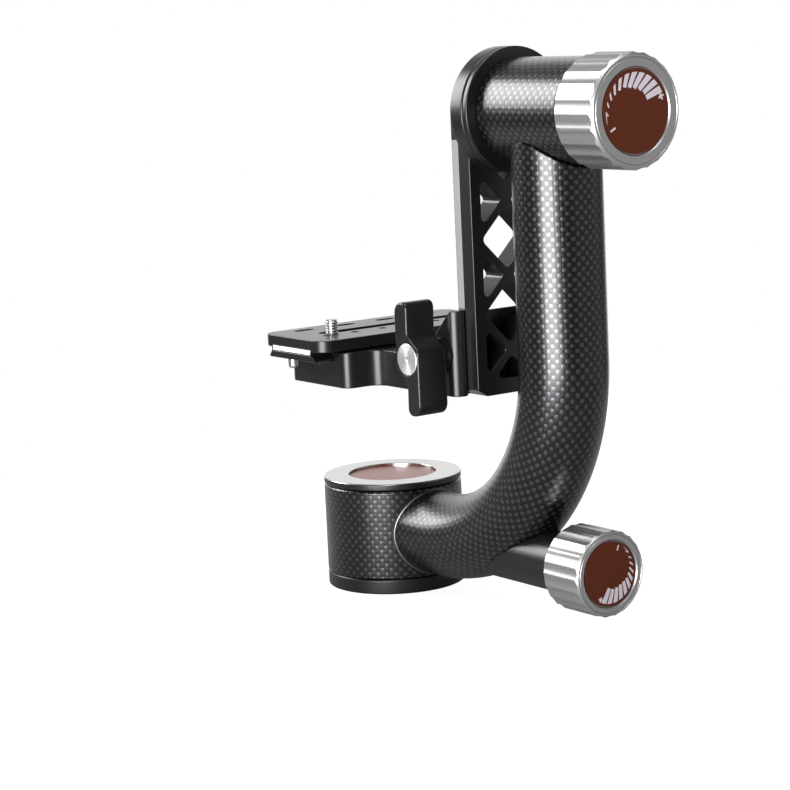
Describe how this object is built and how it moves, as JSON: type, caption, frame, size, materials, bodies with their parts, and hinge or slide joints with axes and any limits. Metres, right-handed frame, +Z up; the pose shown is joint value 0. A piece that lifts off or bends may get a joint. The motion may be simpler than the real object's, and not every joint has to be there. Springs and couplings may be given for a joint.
{
  "type": "gimbal tripod head",
  "caption": "Gimbal tripod head: bent carbon tube arm on a pan base, swing arm with truss openings and a platform that clamps a dovetail camera plate, with fluted lock knobs.",
  "frame": {"origin": "on the pan axis, at the underside of the base, where it sits on the tripod", "axes": "+Z up along the pan axis; +X along the tilt axis from the swing arm towards the tilt lock knob"},
  "size_m": [0.2405, 0.11, 0.2585],
  "materials": {
    "carbon": "woven carbon fibre under a satin clear coat",
    "black_anodised": "black anodised aluminium, satin",
    "silver_aluminium": "turned aluminium, clear anodised",
    "steel": "plain bright steel",
    "badge": "brown anodised badge, satin",
    "cap_ring": "turned aluminium face, satin",
    "brass": "plain machined brass",
    "nylon": "natural nylon"
  },
  "bodies": {
    "base": {"pan_base": "black_anodised", "tripod_socket": "steel", "pan_bearing_lower": "steel", "pan_bearing_upper": "steel", "pan_retaining_nut": "steel"},
    "pan": {"pan_housing": "carbon", "pan_cap": "cap_ring", "pan_cap_badge": "badge", "arm_tube": "carbon", "pan_lock_boss": "black_anodised", "pan_lock_bushing": "brass", "pan_brake_pad": "nylon", "tilt_housing": "carbon", "tilt_bearing_front": "steel", "tilt_bearing_rear": "steel", "tilt_brake_disc": "nylon", "tilt_end_plug": "black_anodised"},
    "pan_knob": {"pan_lock_knob": "silver_aluminium", "pan_knob_badge": "badge", "pan_lock_rod": "steel"},
    "tilt_knob": {"tilt_lock_knob": "silver_aluminium", "tilt_knob_badge": "badge", "tilt_lock_screw": "steel"},
    "swing": {"swing_arm": "black_anodised", "swing_hub_ring": "black_anodised", "tilt_shaft": "steel", "shaft_spacer": "steel", "shaft_retaining_ring": "steel", "swing_hub_screw": "steel"},
    "cradle": {"platform": "black_anodised", "block_set_screw": "steel", "rail_jaw_pin_lower": "steel", "rail_jaw_pin_upper": "steel", "plate_jaw_pin_near": "steel", "plate_jaw_pin_far": "steel"},
    "rail_clamp": {"rail_jaw": "black_anodised"},
    "wing": {"wing_knob": "black_anodised", "wing_knob_cap": "silver_aluminium", "wing_knob_screw": "steel"},
    "plate_clamp": {"plate_jaw": "black_anodised"},
    "plate_knob": {"plate_clamp_knob": "black_anodised", "plate_clamp_screw": "steel"},
    "plate": {"quick_plate": "black_anodised", "plate_end_strip": "silver_aluminium", "plate_stop_screw_near": "steel", "plate_stop_screw_far": "steel"},
    "camera_screw": {"camera_screw": "steel"}
  },
  "joints": [
    {"name": "pan_turn", "type": "hinge", "parent": "base", "child": "pan", "pos_m": [0, 0, 0], "axis": [0, 0, 1], "continuous": true},
    {"name": "swing_turn", "type": "hinge", "parent": "pan", "child": "swing", "pos_m": [0.0975, 0, 0.2305], "axis": [1, 0, 0], "continuous": true},
    {"name": "pan_lock_turn", "type": "hinge", "parent": "pan", "child": "pan_knob", "pos_m": [0.15, 0, 0.0289], "axis": [1, 0, 0], "range_deg": [0, 180]},
    {"name": "tilt_lock_turn", "type": "hinge", "parent": "pan", "child": "tilt_knob", "pos_m": [0.176, 0, 0.2305], "axis": [1, 0, 0], "range_deg": [0, 180]},
    {"name": "cradle_slide", "type": "slide", "parent": "swing", "child": "cradle", "axis": [0, 0, 1], "range_m": [0, 0.058]},
    {"name": "wing_turn", "type": "hinge", "parent": "rail_clamp", "child": "wing", "pos_m": [0.0806, -0.036, 0.1218], "axis": [0, -1, 0], "range_deg": [0, 720]},
    {"name": "rail_jaw_slide", "type": "slide", "parent": "cradle", "child": "rail_clamp", "axis": [0, -1, 0], "range_m": [0, 0.002]},
    {"name": "plate_knob_turn", "type": "hinge", "parent": "plate_clamp", "child": "plate_knob", "pos_m": [-0.04, 0, 0.1085], "axis": [-1, 0, 0], "range_deg": [0, 720]},
    {"name": "plate_jaw_slide", "type": "slide", "parent": "cradle", "child": "plate_clamp", "axis": [-1, 0, 0], "range_m": [0, 0.002]},
    {"name": "plate_slide", "type": "slide", "parent": "cradle", "child": "plate", "axis": [0, 1, 0], "range_m": [-0.003, 0.003]},
    {"name": "camera_screw_turn", "type": "hinge", "parent": "plate", "child": "camera_screw", "pos_m": [0, -0.0313, 0.125], "axis": [0, 0, 1], "continuous": true}
  ],
  "couplings": [
    {"joint": "wing_turn", "follows": "rail_jaw_slide", "rad_per_m": 6283.2},
    {"joint": "plate_knob_turn", "follows": "plate_jaw_slide", "rad_per_m": 6283.2}
  ]
}
